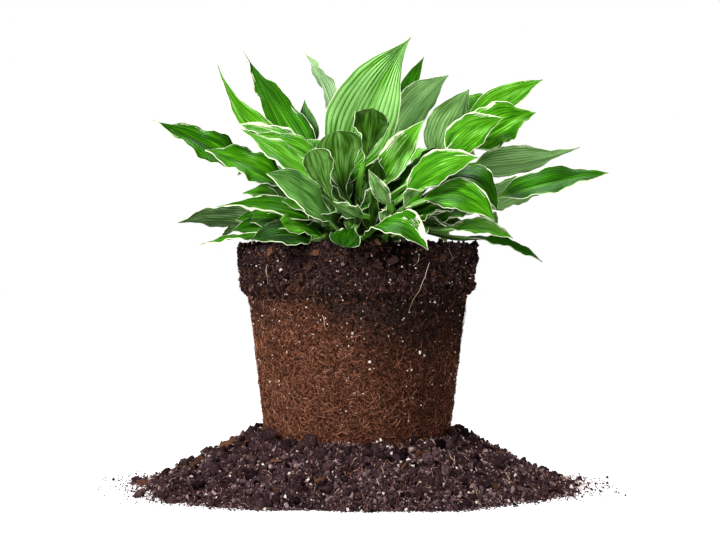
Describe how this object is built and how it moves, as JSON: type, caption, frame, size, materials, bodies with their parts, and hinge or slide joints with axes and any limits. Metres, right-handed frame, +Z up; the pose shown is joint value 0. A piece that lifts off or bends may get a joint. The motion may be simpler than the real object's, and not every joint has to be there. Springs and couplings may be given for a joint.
{
  "type": "potted hosta plant",
  "caption": "Variegated hosta with cream-edged waved leaves, its bare pot-shaped root ball standing upright in a spreading mound of loose soil.",
  "frame": {"origin": "on the flat underside of the soil mound, under the middle of the root ball", "axes": "+Z up, +X to the plant's right as seen from its front, -Y towards the front"},
  "size_m": [0.3273, 0.2348, 0.3063],
  "materials": {
    "loose_soil": "matte",
    "rooted_soil": "matte",
    "crown": "matte",
    "leaf_light": "satin",
    "leaf_middle": "satin",
    "leaf_dark": "satin"
  },
  "bodies": {
    "root": {"soil_mound": "loose_soil", "root_ball": "rooted_soil", "crown": "crown", "leaf_tall_middle": "leaf_light", "leaf_tall_left": "leaf_middle", "leaf_outer_left_high": "leaf_dark", "leaf_left_pale": "leaf_light", "leaf_left_broad_upper": "leaf_middle", "leaf_left_broad_lower": "leaf_dark", "leaf_left_short": "leaf_light", "leaf_far_left": "leaf_middle", "leaf_left_wavy": "leaf_dark", "leaf_left_front_pale": "leaf_light", "leaf_left_flat": "leaf_middle", "leaf_low_left_grey": "leaf_dark", "leaf_lowest_left": "leaf_light", "leaf_front_left_dark": "leaf_middle", "leaf_back_pale": "leaf_dark", "leaf_back_slim": "leaf_light", "leaf_spoon_left": "leaf_middle", "leaf_spoon_right": "leaf_dark", "leaf_right_bright": "leaf_light", "leaf_front_right_bright": "leaf_middle", "leaf_right_strip": "leaf_dark", "leaf_young_funnel": "leaf_light", "leaf_young_spoon": "leaf_middle", "leaf_front_arching": "leaf_dark", "leaf_front_small_dark": "leaf_light", "leaf_front_collar": "leaf_middle", "leaf_young_blade": "leaf_dark", "leaf_right_drooping": "leaf_light", "leaf_right_grey_inner": "leaf_middle", "leaf_right_grey_outer": "leaf_dark", "leaf_far_right": "leaf_light", "leaf_right_front_broad": "leaf_middle", "leaf_right_front_low": "leaf_dark", "leaf_right_hanging": "leaf_light", "leaf_upper_right_outer": "leaf_middle", "leaf_upper_right_back": "leaf_dark", "leaf_right_ruffled": "leaf_light", "leaf_right_bright_upper": "leaf_middle", "leaf_upper_right_grey": "leaf_dark", "leaf_back_right_folded": "leaf_light", "leaf_back_narrow": "leaf_middle", "leaf_right_low_young": "leaf_dark", "leaf_young_left": "leaf_light", "leaf_right_inner_dark": "leaf_middle", "leaf_left_inner_dark": "leaf_dark", "leaf_rear_right_low": "leaf_light", "leaf_rear_right_mid": "leaf_middle", "leaf_rear_right_floor": "leaf_dark", "leaf_rear_middle_high": "leaf_light", "leaf_rear_middle_low": "leaf_middle", "leaf_rear_left_high": "leaf_dark", "leaf_rear_left_low": "leaf_light", "leaf_rear_left_side": "leaf_middle", "leaf_rear_left_floor": "leaf_dark"}
  },
  "joints": []
}
